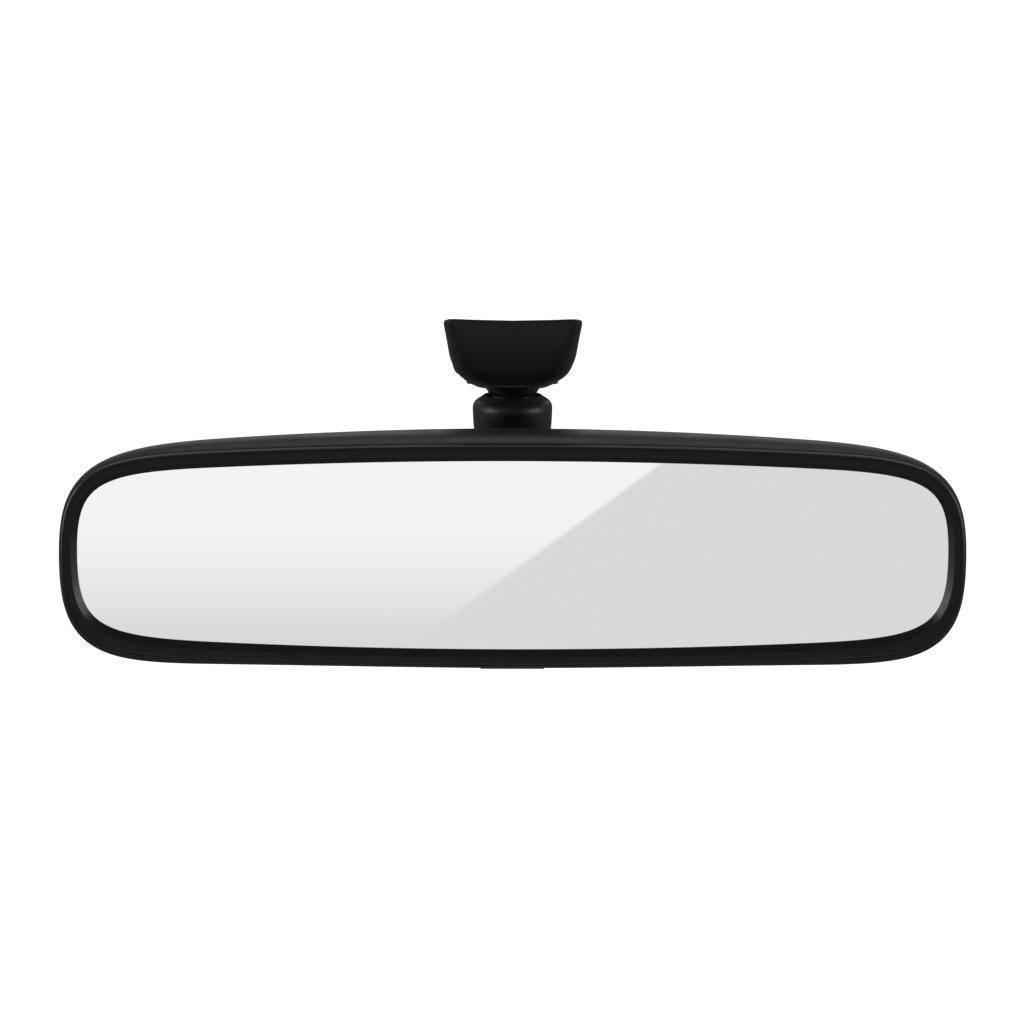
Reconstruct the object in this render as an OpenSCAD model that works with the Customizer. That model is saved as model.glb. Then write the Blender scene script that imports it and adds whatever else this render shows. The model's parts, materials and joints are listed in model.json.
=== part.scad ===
// Interior rearview mirror with a prismatic day/night glass.
// X runs along the mirror, Y points forward (away from the driver), Z is up.
// Origin: centre of the button socket's mouth, on the plane of the windshield.
// Lengths in millimetres, angles in degrees.

/* [Glass] */
// Half width of the glass that shows
glass_a = 121.7; // [105:0.1:130]
// Half height of the glass that shows
glass_b = 26.8; // [24:0.1:29]
// Radius of the long top and bottom edges
edge_r = 1780; // [1200:10:3000]
// Half length of the edge arc, before the corner starts
edge_x = 84.5; // [80:0.5:90]
// Thickness of the glass at its lower edge
glass_t = 2.3; // [2:0.1:2.6]
// Wedge angle between the two faces of the glass
wedge = 2.8; // [2.4:0.1:3]

/* [Bezel] */
// Depth of the glass behind the bezel's crest
recess = 2.0; // [1.6:0.1:2.4]
// Width of the sloped inner face
slope_w = 1.7; // [1.2:0.1:2]
// Distance from the glass edge to the outer edge of the bezel
bezel_w = 4.7; // [4.6:0.05:4.8]

/* [Rear housing] */
// Wall thickness of the housing
wall = 2.0; // [1.8:0.1:2.2]
// Depth of the housing behind the bezel's crest
head_d = 31.3; // [31:0.1:32]
// Radius of the opening around the lower ball stud
back_hole_r = 13; // [12.5:0.1:13.5]

/* [Mount] */
// Angle of the windshield above the horizontal
rake = 21; // [20.5:0.25:21.5]
// Radius of the button socket
button_r = 9.0; // [8.8:0.1:9.1]
// Depth of the button socket
button_d = 4.0; // [3.7:0.1:4.1]
// Half width of the mount cover at its top
cup_w = 19.9; // [19.6:0.1:20.2]
// Depth of the dip in the cover's front edge
cup_dip = 0.7; // [0:0.1:0.9]

/* [Ball joints] */
// Radius of the upper ball
ball_u = 8.7; // [8.6:0.05:8.75]
// Radius of the lower ball
ball_l = 7.0; // [6.9:0.05:7.1]
// Radial clearance of the balls in their seats
ball_gap = 0.15; // [0.1:0.01:0.2]

/* [Day and night lever] */
// Width of the lever's tab
lever_w = 18.5; // [16:0.5:19]
// Length of the lever from its pin to the end of its tab
lever_l = 17.1; // [15:0.1:18]
// Throw of the crank pins that engage the fork
crank = 2.9; // [2.84:0.02:2.94]

/* [Hidden] */
$fn = 64;
// The design is laid out around the head: its zero is the centre of the glass, in the plane of the bezel's crest.
// Upper ball centre, lower ball centre, hinge of the day/night tilt, lever pin, as [y, z]
U = [44, 44.9];
L = [23, 2];
H = [16, 22];
P = [12, -27.5];
// A point of the windshield's plane, at the top of the cover's front edge
rim = [26.5, 63.6];
// Distance from the upper ball to that plane, and from the ball's foot on it to the socket's centre
u_depth = (rim[1] - (U[0] - rim[0]) * tan(rake) - U[1]) * cos(rake);
foot = [U[0] + u_depth * sin(rake), U[1] + u_depth * cos(rake)];
slide = 17.5;
C = [foot[0] + slide * cos(rake), foot[1] - slide * sin(rake)];
function plane_z(y) = rim[1] - (y - rim[0]) * tan(rake);
// Resting angle of the tab below the rearward horizontal, and of the crank from the vertical
tab_rest = 32.8;
crank_rest = 40;

// Moves the layout to the part's own origin
module place() translate([0, -C[0], -C[1]]) children();
// Puts children in the frame of the windshield: Y down the slope, Z out through the glass
module on_glass() translate([0, C[0], C[1]]) rotate([-rake, 0, 0]) children();
// A cylinder along X, from x0 to x1, around [y, z]
module xrod(r, x0, x1, c, fn = 64) translate([x0, c[0], c[1]]) rotate([0, 90, 0]) cylinder(r = r, h = x1 - x0, $fn = fn);
// A cylinder along Y, from y0 to y1, around [x, z]
module yrod(r, y0, y1, c, fn = 64) translate([c[0], y0, c[1]]) rotate([-90, 0, 0]) cylinder(r = r, h = y1 - y0, $fn = fn);
module box(x0, x1, y0, y1, z0, z1) translate([x0, y0, z0]) cube([x1 - x0, y1 - y0, z1 - z0]);
// A profile in [y, z] drawn out along X
module xplate(x0, x1, pts) translate([x0, 0, 0]) rotate([90, 0, 90]) linear_extrude(height = x1 - x0) polygon(pts);
module at_u() translate([0, U[0], U[1]]) children();
// Puts children in the lower ball's frame, its Z axis along the stud (forward)
module at_l() translate([0, L[0], L[1]]) rotate([-90, 0, 0]) children();

// ---- Outline of the head: a long arc, then a corner curve that ends upright at the side ----
NA = 8;
NB = 16;
function bez(p, t) = pow(1 - t, 3) * p[0] + 3 * pow(1 - t, 2) * t * p[1] + 3 * (1 - t) * t * t * p[2] + t * t * t * p[3];
function dbez(p, t) = 3 * pow(1 - t, 2) * (p[1] - p[0]) + 6 * (1 - t) * t * (p[2] - p[1]) + 3 * t * t * (p[3] - p[2]);
th = asin(edge_x / edge_r);
corner = let (p0 = [edge_x, glass_b - edge_r + edge_r * cos(th)])
    [p0, p0 + 32 * [cos(th), -sin(th)], [glass_a, 20], [glass_a, 0]];
function nrm(v) = [-v[1], v[0]] / norm(v);
function quad(d) = [
    for (i = [0:NA - 1]) let (a = th * i / NA) [(edge_r + d) * sin(a), glass_b - edge_r + (edge_r + d) * cos(a)],
    for (i = [0:NB]) let (t = i / NB) bez(corner, t) + d * nrm(dbez(corner, t))];
NQ = NA + NB;
// The whole loop, grown by d: 4 * NQ points
function loop(d) = let (q = quad(d)) [
    for (i = [0:NQ - 1]) q[i],
    for (i = [0:NQ - 1]) [q[NQ - i][0], -q[NQ - i][1]],
    for (i = [0:NQ - 1]) -q[i],
    for (i = [0:NQ - 1]) [-q[NQ - i][0], q[NQ - i][1]]];
// Share of the droop of the lower corners, which make the case fuller there than at the top
function droop(x, f) = pow(abs(x) / 126, 3) * (1 - sin(f)) / 2;
// A ring at depth y: the loop grown by d, its lower corners dropped by g
function ring(d, y, g = 0) = [for (p = loop(d)) [p[0], y, p[1] - g * droop(p[0], atan2(p[1] / glass_b, p[0] / glass_a))]];
// How much higher than the glass centre the housing's middle lies
rise = 0.15;
// A ring at depth y of half width a and half height b, q of the way to an ellipse, its lower corners dropped by g,
// and m of the way to a circle of radius r around the lower ball's axis
function dome(y, a, b, q = 0, g = 0, m = 0, r = 0) = [for (p = loop(bezel_w))
    let (u = p[0] / (glass_a + bezel_w), v = p[1] / (glass_b + bezel_w), f = atan2(v, u), x = a * ((1 - q) * u + q * cos(f)))
    [(1 - m) * x + m * r * cos(f), y, (1 - m) * (rise * min(1, y / 7) + b * ((1 - q) * v + q * sin(f)) - g * droop(x, f)) + m * (L[1] + r * sin(f))]];

// A solid skinned over closed rings, the last joined to the first
module skin(rings) {
    n = len(rings[0]);
    m = len(rings);
    polyhedron(points = [for (r = rings) each r], faces = [for (i = [0:m - 1]) for (j = [0:n - 1])
        each let (a = i * n + j, b = i * n + (j + 1) % n, c = ((i + 1) % m) * n + j, d = ((i + 1) % m) * n + (j + 1) % n)
            [[a, d, c], [a, b, d]]]);
}

// ---- Head ----
module rear_housing() color("#17181a") place() {
    w = wall;
    k = head_d - 31.3;
    difference() {
        skin([
            // outside, from the seam to the opening at the back
            ring(4.0, 2.6, 1.8), ring(4.4, 2.75, 2.0), dome(3.6, 126.9, 32.0, 0, 2.9), dome(4.8, 127.1, 32.7, 0.01, 3.7), dome(7, 126.8, 33.45, 0.03, 4.5), dome(10.5, 125.2, 33.9, 0.07, 5.0),
            dome(14, 121.9, 33.8, 0.12, 5.2), dome(17.5, 116.4, 33.3, 0.2, 4.9), dome(20.5, 108.5, 32.3, 0.3, 4), dome(23.5, 98, 30.8, 0.44, 3), dome(26.2 + k / 2, 84, 28.3, 0.6, 2),
            dome(28.5 + k, 65, 24.4, 0.8, 0, 0.05, 22), dome(30.1 + k, 45, 19.5, 1, 0, 0.25, 19), dome(30.9 + k, 29, 16.5, 1, 0, 0.6, 16.5),
            dome(31.3 + k, 20, 14, 1, 0, 1, back_hole_r + 0.9), dome(31.1 + k, 20, 14, 1, 0, 1, back_hole_r),
            // inside, from the opening back to the seam
            dome(29.3 + k, 20, 14, 1, 0, 1, back_hole_r), dome(28.6 + k, 29, 15.5, 1, 0, 0.5, 18), dome(27.2 + k, 55, 21, 0.8, 0, 0.1, 20),
            dome(24.6 + k / 2, 80, 25.9, 0.62, 2), dome(21.6, 96, 28.7, 0.46, 3), dome(17.5, 110, 30.7, 0.26, 4.2), dome(13.5, 119.4, 31.5, 0.13, 4.6), dome(9, 124.1, 31.6, 0.05, 4.2), dome(5.5, 125.0, 31.0, 0.01, 3), ring(2.5, 2.6, 1.2)]);
        // slot for the lever's tab
        box(-lever_w / 2 - 0.9, lever_w / 2 + 0.9, 7, 23.5, -40, -26);
    }
}

// Bosses for the chassis screws, moulded on the inside of the housing
module case_bosses() color("#17181a") place() for (x = [-62, 62]) for (z = [-11, 11]) difference() {
    yrod(2.8, 10.3, 26.3, [x, z]);
    yrod(1.5, 10, 19, [x, z]);
}

module front_bezel() color("#141517") place()
    skin([ring(0, recess - 0.35), ring(slope_w - 0.25, 0.12, 0.2), ring(slope_w + 0.1, 0, 0.25), ring(3.1, 0, 0.8), ring(3.65, 0.1, 1.1), ring(4.1, 0.36, 1.4), ring(4.42, 0.78, 1.6),
        ring(4.6, 1.3, 1.8), ring(bezel_w, 2.0, 2.0), ring(bezel_w - 0.1, 2.3, 2.0), ring(3.9, 2.35, 1.7),
        ring(2.3, 2.35, 0.9), ring(2.3, 7.4, 0.9), ring(1.25, 7.4), ring(1.25, recess), ring(0, recess)]);

// The glass outline as a block from y0 to y1
module glass_block(d, y0, y1) translate([0, y1, 0]) rotate([90, 0, 0]) linear_extrude(height = y1 - y0) polygon(loop(d));
// Everything behind a plane that leans with the silvered face, o behind it
module behind(o) translate([0, recess + glass_t + o, -glass_b - 1]) rotate([-wedge, 0, 0]) box(-140, 140, 0, 30, -20, 80);

module mirror_glass() color("#c9cfd2") place() difference() {
    glass_block(1.05, recess, recess + 12);
    behind(0);
}
module glass_backing() color("#3a3d40") place() difference() {
    intersection() { glass_block(0.6, recess + 0.5, recess + 12); behind(0); }
    behind(0.5);
}
module foam_strips() color("#2b2b2d") place() for (z = [-1, 1]) intersection() {
    behind(0.5);
    box(-56, 56, recess + 1, 8.3, z * 15 - 4, z * 15 + 4);
}

module inner_chassis() color("#3b3e42") place() difference() {
    union() {
        // plate with rounded ends
        for (x = [-1, 1]) yrod(21, 8.3, 10.2, [x * 74, 0], 96);
        box(-74, 74, 8.3, 10.2, -21, 21);
        // tongues that carry the ears
        box(-30, 30, 8.3, 10.2, 20, 27);
        box(-17, 17, 8.3, 10.2, -30, -20);
        // hinge ears
        for (x = [-1, 1]) {
            xrod(4.3, x > 0 ? 24 : -28, x > 0 ? 28 : -24, H);
            box(x > 0 ? 24 : -28, x > 0 ? 28 : -24, 10, H[0], H[1] - 4.3, H[1] + 4.3);
            // lever ears
            xrod(2.9, x > 0 ? 13.6 : -17, x > 0 ? 17 : -13.6, P);
            box(x > 0 ? 13.6 : -17, x > 0 ? 17 : -13.6, 10, P[0], P[1] - 2.9, P[1] + 2.9);
            // ribs
            box(x > 0 ? 36 : -85, x > 0 ? 85 : -36, 10, 14, -1, 1);
            box(x > 0 ? 36 : -38, x > 0 ? 38 : -36, 10, 14, -16, 16);
        }
    }
    xrod(1.5, -30, 30, H);
    xrod(1.25, -20, 20, P);
    for (x = [-62, 62]) for (z = [-11, 11]) yrod(1.7, 8, 11, [x, z]);
    // room for the lever's hub, and windows for the fork
    box(-13, 13, 8, 10.4, -31, -22.4);
    for (x = [-1, 1]) box(x > 0 ? 9.4 : -13, x > 0 ? 13 : -9.4, 8, 10.4, -23, -15);
}

module chassis_screws() color("#9a9d9f") place() for (x = [-62, 62]) for (z = [-11, 11]) difference() {
    union() {
        yrod(1.45, 8.2, 18.5, [x, z]);
        yrod(2.8, 7.1, 8.3, [x, z]);
    }
    yrod(1.0, 6, 7.8, [x, z], 6);
}

module hinge_pin() color("#b4b7b9") place() xrod(1.5, -28.4, 28.4, H);
module lever_pivot_pin() color("#b4b7b9") place() xrod(1.25, -17.2, 17.2, P);

module detent_spring() color("#8f9294") place()
    xplate(-4, 4, [[10.2, -20], [10.2, -11], [10.7, -11], [10.7, -19.9], [12.6, -22.5], [12.9, -22.9], [12.5, -23.15], [12.1, -22.75]]);

// ---- Lever ----
// The tab's outline in [y, z] around the pin, lying along +Y
tab_pts = [[2.4, -1.6], [4.5, -1.6], [lever_l - 3.5, -1.5], [lever_l - 1, -1.7], [lever_l - 0.2, -1.3], [lever_l, -0.4],
    [lever_l - 0.1, 0.9], [lever_l - 0.8, 1.6], [lever_l - 2, 1.8], [lever_l - 3.5, 1.5], [4.5, 1.6], [2.4, 1.6]];
module day_night_lever() color("#141517") place() translate([0, P[0], P[1]]) {
    difference() {
        union() {
            xrod(4.0, -lever_w / 2, lever_w / 2, [0, 0]);
            rotate([-tab_rest, 0, 0]) xplate(-lever_w / 2 + 0.2, lever_w / 2 - 0.2, tab_pts);
            for (x = [-1, 1]) xrod(1.0, x > 0 ? lever_w / 2 - 1 : -12.7, x > 0 ? 12.7 : -lever_w / 2 + 1, crank * [-sin(crank_rest), cos(crank_rest)]);
        }
        xrod(1.3, -14, 14, [0, 0]);
    }
}

// ---- Carrier with the lower ball's pocket ----
module socket_carrier() color("#5b5f63") place() difference() {
    union() {
        yrod(12.4, 11.1, 22.2, [0, L[1]]);
        box(-11, 11, 11.1, 13.2, -17, 20);
        // hinge barrel
        xrod(3.9, -23.6, 23.6, H);
        box(-23.6, 23.6, 11.1, 16, H[1] - 3.9, H[1]);
        box(-18, 18, 11.1, 13.2, 8, 19);
        // fork
        for (x = [-1, 1]) xplate(x > 0 ? 10 : -12.4, x > 0 ? 12.4 : -10,
            [[11.1, 6], [11.1, -17], [7.3, -22.5], [7.3, P[1] + 2.0], [14.2, P[1] + 2.0], [14.2, -14], [16, -6], [16, 6]]);
        box(-12.4, 12.4, 11.1, 13.2, -17, -13);
    }
    // pocket: cylinder for the seat, dome for the cap, recess for the spring
    yrod(9.15, 19.6, 30, [0, L[1]]);
    translate([0, L[0], L[1]]) sphere(r = 8.2, $fn = 96);
    yrod(5.6, 12.3, 19, [0, L[1]]);
    xrod(1.56, -30, 30, H);
    // slot of the fork, open downward
    for (x = [-1, 1]) {
        xrod(1.3, x > 0 ? 9.8 : -13, x > 0 ? 13 : -9.8, [P[0] - crank * sin(crank_rest), P[1] + 3.3]);
        box(x > 0 ? 9.8 : -13, x > 0 ? 13 : -9.8, P[0] - crank * sin(crank_rest) - 1.3, P[0] - crank * sin(crank_rest) + 1.3, P[1] - 3, P[1] + 3.3);
    }
    // screw holes for the retainer
    for (a = [90, 210, 330]) yrod(0.9, 16.5, 30, [10.8 * cos(a), L[1] + 10.8 * sin(a)]);
}

module socket_retainer() color("#8a8d8f") place() difference() {
    union() { yrod(12.4, 22.3, 26.1, [0, L[1]]); }
    // seat bore, then the lip behind it
    yrod(9.15, 22, 24.95, [0, L[1]]);
    translate([0, L[0], L[1]]) sphere(r = ball_l + ball_gap, $fn = 96);
    yrod(5.5, 20, 30, [0, L[1]]);
    for (a = [90, 210, 330]) yrod(1.1, 20, 30, [10.8 * cos(a), L[1] + 10.8 * sin(a)]);
}
module retainer_screws() color("#9a9d9f") place() for (a = [90, 210, 330]) translate([10.8 * cos(a), 0, L[1] + 10.8 * sin(a)]) difference() {
    union() { yrod(0.85, 17, 26.2, [0, 0]); yrod(1.5, 26.1, 27.1, [0, 0]); }
    yrod(0.7, 26.5, 28, [0, 0], 6);
}

module lower_ball_seat() color("#d8d5cb") place() at_l() difference() {
    translate([0, 0, -3.2]) cylinder(r = 9.0, h = 5.1, $fn = 96);
    sphere(r = ball_l + ball_gap, $fn = 96);
}
// A cap of a spherical shell: from r0 to r1, down to the given angle from the pole
module cap(r0, r1, ang) rotate_extrude($fn = 96) intersection() {
    difference() { circle(r = r1, $fn = 96); circle(r = r0, $fn = 96); }
    polygon([[0, 0], [0, r1 * 2], [r1 * 2 * sin(ang), r1 * 2 * cos(ang)]]);
}
module lower_pressure_cup() color("#a3a6a8") place() at_l() mirror([0, 0, 1]) cap(ball_l + ball_gap, ball_l + 0.85, 42);

// Coil: centre line radius r, wire radius w, from z0 to z1, n turns, s points a turn
function coil_ring(r, w, z, a, tilt) = [for (k = [0:7]) let (f = 45 * k)
    [(r + w * cos(f)) * cos(a) + w * sin(f) * sin(tilt) * sin(a), (r + w * cos(f)) * sin(a) - w * sin(f) * sin(tilt) * cos(a), z + w * sin(f) * cos(tilt)]];
module coil(r, w, z0, z1, n, s) {
    m = n * s;
    tilt = atan((z1 - z0) / (n * 360 * PI / 180 * r));
    rings = [for (i = [0:m]) coil_ring(r, w, z0 + (z1 - z0) * i / m, 360 * i / s, tilt)];
    polyhedron(points = [for (g = rings) each g], faces = [
        [for (k = [0:7]) k], [for (k = [0:7]) m * 8 + 7 - k],
        for (i = [0:m - 1]) for (k = [0:7]) each let (a = i * 8 + k, b = i * 8 + (k + 1) % 8, c = a + 8, d = b + 8) [[a, c, d], [a, d, b]]]);
}
module lower_friction_spring() color("#8f9294") place() at_l() coil(4.5, 0.4, -10.25, -7.3, 2.5, 20);

// ---- Arm ----
module lower_ball_stud() color("#a9acae") place() union() {
    at_l() difference() {
        sphere(r = ball_l, $fn = 96);
        translate([0, 0, -26.4]) cylinder(r = 12, h = 20, $fn = 64);
    }
    yrod(4, L[0], 49.2, [0, L[1]]);
    yrod(7, 37.4, 39.2, [0, L[1]]);
    yrod(4.3, L[0] + 4, 39, [0, L[1]]);
}
module lower_stud_washer() color("#b4b7b9") place() difference() {
    yrod(6.6, 45.2, 46.2, [0, L[1]]);
    yrod(4.1, 45, 47, [0, L[1]]);
}
module lower_stud_nut() color("#b4b7b9") place() difference() {
    yrod(6.9, 46.2, 49.4, [0, L[1]], 6);
    yrod(4.05, 46, 50, [0, L[1]]);
}
module upper_ball_stud() color("#1b1c1e") place() difference() {
    union() {
        at_u() difference() {
            sphere(r = ball_u, $fn = 96);
            translate([0, 0, -20 - 5.9]) cylinder(r = 12, h = 20, $fn = 64);
            translate([0, 0, 6.8]) cylinder(r = 12, h = 20, $fn = 64);
        }
        translate([0, U[0], 36.3]) cylinder(r = 6.38, h = 3.3, $fn = 96);
        translate([0, U[0], 29.2]) cylinder(r = 4, h = 8, $fn = 64);
    }
    xrod(1.25, -12, 12, [U[0], 33.7]);
}
module stud_cross_pin() color("#b4b7b9") place() xrod(1.25, -7, 7, [U[0], 33.7]);

module arm_core() color("#6a6e72") place() difference() {
    union() {
        translate([0, U[0], 30.8]) cylinder(r = 7.2, h = 5.5, $fn = 96);
        box(-5.2, 5.2, 41.6, 43.4, 0, 31);
        box(-7, 7, 43.3, 45.2, -1, 31);
        box(-1.5, 1.5, 45, 49.3, 11, 31);
        yrod(8, 39.2, 42.8, [0, L[1]], 96);
        yrod(6.9, 42.7, 45.2, [0, L[1]], 96);
        for (z = [14, 20]) box(-7, 7, 45, 46.7, z - 1, z + 1);
    }
    translate([0, U[0], 28.2]) cylinder(r = 4.02, h = 30, $fn = 64);
    xrod(1.25, -12, 12, [U[0], 33.7]);
    yrod(4.02, 30, 50, [0, L[1]]);
    for (z = [11.5, 25]) yrod(1.1, 43, 50, [z > 20 ? 5.2 : -5.2, z]);
}

// Rows of the arm's skin: [z, half width, front y, back y], and 1 where the row is a circle
arm_rows = [[38.75, 8.2, 35.8, 52.2], [38.0, 9.2, 34.8, 53.2], [37.45, 10.1, 33.9, 54.1], [36.9, 10.75, 33.25, 54.75], [36.2, 11.2, 32.8, 55.2], [35.3, 11.45, 32.55, 55.45],
    [33, 11.42, 33.0, 55.35], [30.5, 11.3, 34.1, 55.0], [27.7, 11.0, 36.1, 54.35], [25, 10.7, 37.8, 53.6], [21, 10.1, 39.1, 52.9], [15, 9.8, 39.5, 52.6],
    [8, 9.7, 39.5, 52.6], [1, 9.6, 39.5, 52.6], [-3, 9.0, 39.6, 52.4], [-6, 7.4, 40.1, 51.7], [-7.8, 4.6, 41.4, 50.4], [-8.3, 2.0, 43.6, 48.2]];
// Half of a row: 0..NS points from +x over the front (s = -1) or the back (s = 1) to -x
NS = 20;
function sq(v, e) = sign(v) * pow(abs(v), e);
function half_row(r, s, t) = let (a = max(r[1] - t, 0.3), y0 = 46, f = (s < 0 ? y0 - r[2] : r[3] - y0) - t, e = r[0] > 31 ? 1 : r[0] > 21 ? 1 - (31 - r[0]) * 0.04 : 0.6)
    [for (k = [0:NS]) let (g = 180 * k / NS) [a * sq(cos(g), e), y0 + s * max(f, 0.3) * sq(sin(g), e), r[0] + (r[0] < -2 ? t * (-2 - r[0]) / 6.2 : -t * max(0, min(1, (r[0] - 35.9) / 1.5)))]];
// A solid between an outer and an inner grid of points
module sheet(o, i) {
    m = len(o);
    n = len(o[0]);
    q = m * n;
    function f(a, b, c, d) = [[a, b, c], [a, c, d]];
    polyhedron(points = concat([for (r = o) each r], [for (r = i) each r]), faces = concat(
        [for (u = [0:m - 2]) for (v = [0:n - 2]) each f(u * n + v, (u + 1) * n + v, (u + 1) * n + v + 1, u * n + v + 1)],
        [for (u = [0:m - 2]) for (v = [0:n - 2]) each f(q + u * n + v, q + u * n + v + 1, q + (u + 1) * n + v + 1, q + (u + 1) * n + v)],
        [for (u = [0:m - 2]) each f(u * n, q + u * n, q + (u + 1) * n, (u + 1) * n)],
        [for (u = [0:m - 2]) each f(u * n + n - 1, (u + 1) * n + n - 1, q + (u + 1) * n + n - 1, q + u * n + n - 1)],
        [for (v = [0:n - 2]) each f(v, v + 1, q + v + 1, q + v)],
        [for (v = [0:n - 2]) each f((m - 1) * n + v, q + (m - 1) * n + v, q + (m - 1) * n + v + 1, (m - 1) * n + v + 1)]));
}
module arm_front_cover() color("#18191b") place() difference() {
    mirror([1, 0, 0]) sheet([for (r = arm_rows) half_row(r, -1, 0)], [for (r = arm_rows) half_row(r, -1, 1.5)]);
    yrod(8.3, 30, 43, [0, L[1]]);
}
module arm_rear_cover() color("#18191b") place() translate([0, 0.05, 0]) difference() {
    sheet([for (r = arm_rows) half_row(r, 1, 0)], [for (r = arm_rows) half_row(r, 1, 1.5)]);
    for (z = [11.5, 25]) {
        yrod(1.3, 47, 60, [z > 20 ? 5.2 : -5.2, z]);
        yrod(2.35, z > 20 ? 52.4 : 51.9, 60, [z > 20 ? 5.2 : -5.2, z]);
    }
}
module arm_cover_screws() color("#77797b") place() for (z = [11.5, 25]) translate([z > 20 ? 5.2 : -5.2, z > 20 ? 0.1 : -0.4, z]) difference() {
    union() { yrod(1.05, 43.9, 52.6, [0, 0]); yrod(2.2, 52.4, 53.5, [0, 0]); }
    yrod(1.0, 52.9, 55, [0, 0], 6);
}

// ---- Upper joint ----
module upper_ball_seat() color("#d8d5cb") place() at_u() difference() {
    translate([0, 0, -1.05]) cylinder(r = 9.9, h = 3.45, $fn = 96);
    sphere(r = ball_u + ball_gap, $fn = 96);
}
module upper_pressure_cup() color("#a3a6a8") place() at_u() cap(ball_u + ball_gap, ball_u + 0.75, 44);
module upper_spring_washer() color("#8f9294") place() at_u() rotate_extrude($fn = 96)
    polygon([[9.0, -1.4], [9.85, -1.15], [9.85, -1.4], [9.0, -1.68]]);
module upper_retaining_ring() color("#7d8083") place() at_u() difference() {
    rotate_extrude($fn = 96) polygon([[7.5, -2.4], [8.9, -2.4], [10.6, -1.95], [10.6, -0.3], [9.95, -0.3], [9.95, -1.75], [7.5, -1.75]]);
    sphere(r = ball_u + ball_gap, $fn = 96);
    for (a = [0:90:270]) rotate([0, 0, a + 45]) translate([9.3, -0.8, -4]) cube([3, 1.6, 1.9]);
}

// ---- Foot and its cover ----
module mount_base() color("#8c8f92") place() difference() {
    union() {
        intersection() {
            translate([0, U[0], U[1] - 1.9]) cylinder(r = 11.8, h = 30, $fn = 96);
            on_glass() box(-30, 30, -80, 60, -60, 0);
        }
        on_glass() {
            translate([0, 0, -5.8]) cylinder(r = 11.9, h = 5.8, $fn = 96);
            box(-11.8, 11.8, -14, 0, -5.8, 0);
            for (x = [-1, 1]) translate([x * 11.4, 0, -7]) cylinder(r = 2.2, h = 6.2, $fn = 48);
            translate([-4, 6, -4.6]) cube([8, 6.3, 4.2]);
        }
    }
    on_glass() {
        translate([0, 0, -button_d]) cylinder(r = button_r, h = button_d + 5, $fn = 96);
        translate([0, 0, -button_d - 0.8]) cylinder(r = 8.2, h = 3, $fn = 96);
        for (x = [-1, 1]) translate([x * 11.4, 0, -9]) cylinder(r = 1.0, h = 7, $fn = 48);
        translate([0, 5, -2.2]) rotate([-90, 0, 0]) cylinder(r = 1.55, h = 20, $fn = 48);
    }
    at_u() {
        intersection() {
            sphere(r = ball_u + 0.9, $fn = 96);
            cylinder(r = 12, h = 12, $fn = 64);
        }
        translate([0, 0, -1.3]) cylinder(r = 10.05, h = 3.9, $fn = 96);
        translate([0, 0, -4]) cylinder(r = 10.7, h = 3.8, $fn = 96);
    }
}
module button_spring_washer() color("#8f9294") place() on_glass() translate([0, 0, -button_d - 0.75]) difference() {
    cylinder(r = 8.0, h = 0.6, $fn = 96);
    translate([0, 0, -1]) cylinder(r = 4.5, h = 3, $fn = 96);
}
module button_set_screw() color("#55585b") place() on_glass() translate([0, 9.2, -2.2]) rotate([-90, 0, 0]) difference() {
    cylinder(r = 1.5, h = 4.0, $fn = 48);
    translate([0, 0, 2.2]) cylinder(r = 0.85, h = 4, $fn = 6);
}

// Bottom of the cover: level under the ball, then falling toward the back
cup_z = 42.53;
function cup_bottom(y) = y < 50 ? cup_z : cup_z - (y - 50) * 0.31;
// A rounded rectangle in plan, a little narrower toward the back: half width a, from y0 to y1, corner exponent e
NC = 72;
function plan(a, y0, y1, e) = [for (k = [0:NC - 1]) let (f = 360 * k / NC, y = (y0 + y1) / 2 + (y1 - y0) / 2 * sq(sin(f), e))
    [a * sq(cos(f), e) * (1 - 0.002 * max(0, y - 30)), y]];
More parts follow.
